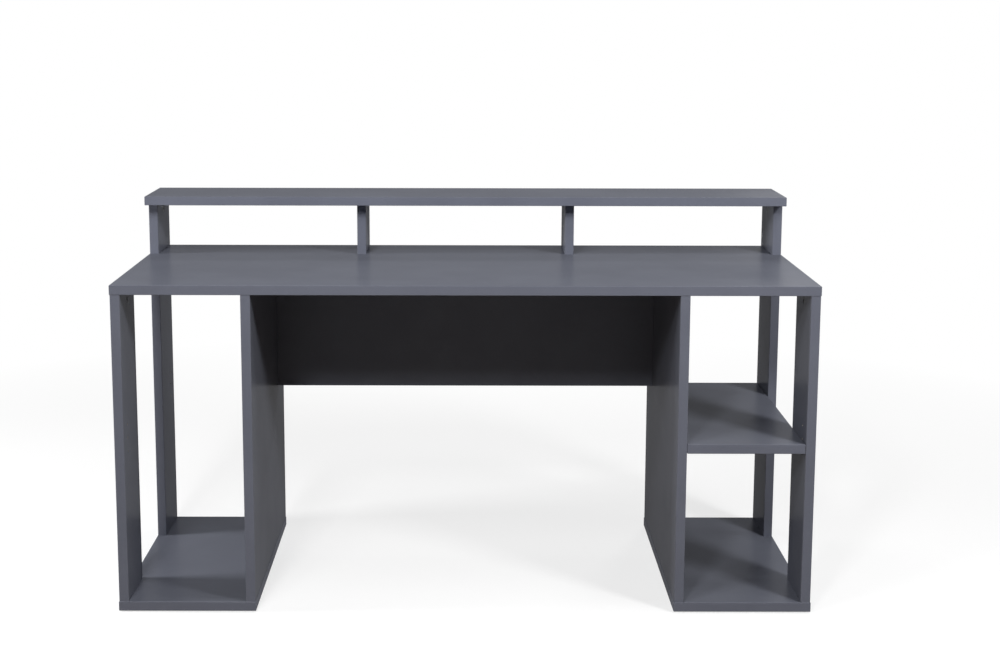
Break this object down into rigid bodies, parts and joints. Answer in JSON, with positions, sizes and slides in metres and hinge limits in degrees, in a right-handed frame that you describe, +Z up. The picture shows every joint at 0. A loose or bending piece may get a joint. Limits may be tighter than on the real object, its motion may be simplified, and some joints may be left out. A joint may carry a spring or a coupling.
{
  "type": "gaming desk",
  "caption": "Wide graphite desk with open pedestals of posts and panels, a loose shelf on pins, a modesty panel and a full-width monitor riser on legs.",
  "frame": {"origin": "on the floor under the middle of the worktop", "axes": "+X to the user's right, +Y from the user's side to the back, +Z up"},
  "size_m": [1.6, 0.6, 0.919],
  "materials": {
    "melamine": "graphite melamine on chipboard, satin",
    "cam_metal": "die-cast, dull",
    "bolt_steel": "zinc plated",
    "dowel_wood": "raw beech, fluted",
    "support_plastic": "moulded",
    "glide_plastic": "moulded"
  },
  "bodies": {
    "desk": {"worktop": "melamine", "left_base_plate": "melamine", "right_base_plate": "melamine", "left_inner_panel": "melamine", "right_inner_panel": "melamine", "left_front_post": "melamine", "left_rear_post": "melamine", "right_front_post": "melamine", "right_rear_post": "melamine", "modesty_panel": "melamine", "riser_top": "melamine", "riser_left_end_leg": "melamine", "riser_left_middle_leg": "melamine", "riser_right_middle_leg": "melamine", "riser_right_end_leg": "melamine", "worktop_cam_discs": "cam_metal", "riser_cam_discs": "cam_metal", "worktop_cam_bolts": "bolt_steel", "riser_cam_bolts": "bolt_steel", "base_screws": "bolt_steel", "worktop_dowels": "dowel_wood", "riser_dowels": "dowel_wood", "modesty_dowels": "dowel_wood", "shelf_supports": "support_plastic", "floor_glides": "glide_plastic"},
    "shelf": {"storage_shelf": "melamine"}
  },
  "joints": [
    {"name": "shelf_lift", "type": "slide", "parent": "desk", "child": "shelf", "axis": [0, 0, 1], "range_m": [0, 0.064]}
  ]
}
